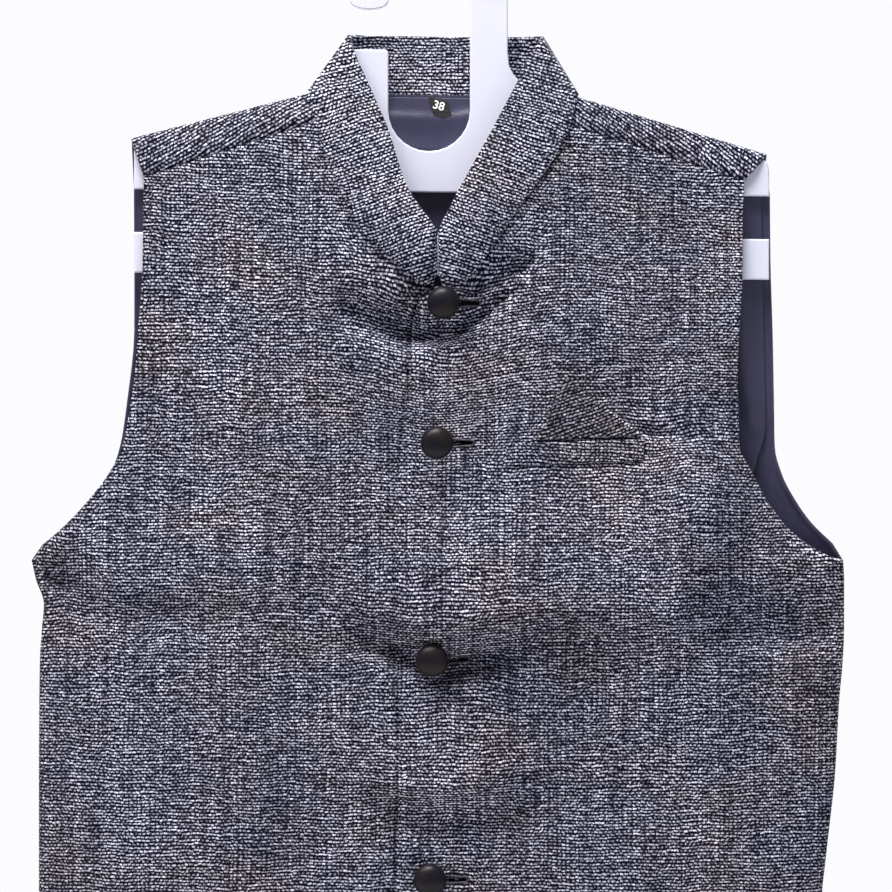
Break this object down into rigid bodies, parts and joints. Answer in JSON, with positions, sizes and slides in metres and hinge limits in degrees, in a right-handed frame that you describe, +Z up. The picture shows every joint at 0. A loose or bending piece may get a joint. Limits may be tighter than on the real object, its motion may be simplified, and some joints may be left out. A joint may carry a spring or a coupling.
{
  "type": "nehru jacket on hanger",
  "caption": "Sleeveless band-collar jacket in slubbed tweed, buttoned up the front, with a breast pocket, hung on a flat plastic hanger whose open hook goes over a rail.",
  "frame": {"origin": "middle of the hook's inner top, where a rail carries the hanger, in the hanger's mid plane", "axes": "+X to the wearer's left, +Z up, the jacket's front faces -Y"},
  "size_m": [0.5102, 0.0658, 0.8071],
  "materials": {
    "tweed": "matt slubbed suiting, off-white and blue-grey flecks on a near-black navy ground",
    "satin": "dark aubergine satin lining",
    "button_resin": "polished near-black resin",
    "hanger_plastic": "smooth white sheet plastic",
    "label_tape": "black woven tape"
  },
  "bodies": {
    "root": {"front_right": "tweed", "front_left": "tweed", "back": "tweed", "back_lining": "satin", "collar": "tweed", "button_1": "button_resin", "button_2": "button_resin", "button_3": "button_resin", "button_4": "button_resin", "button_5": "button_resin", "pocket_welt": "tweed", "pocket_point": "tweed", "size_label": "label_tape", "hanger": "hanger_plastic"}
  },
  "joints": []
}
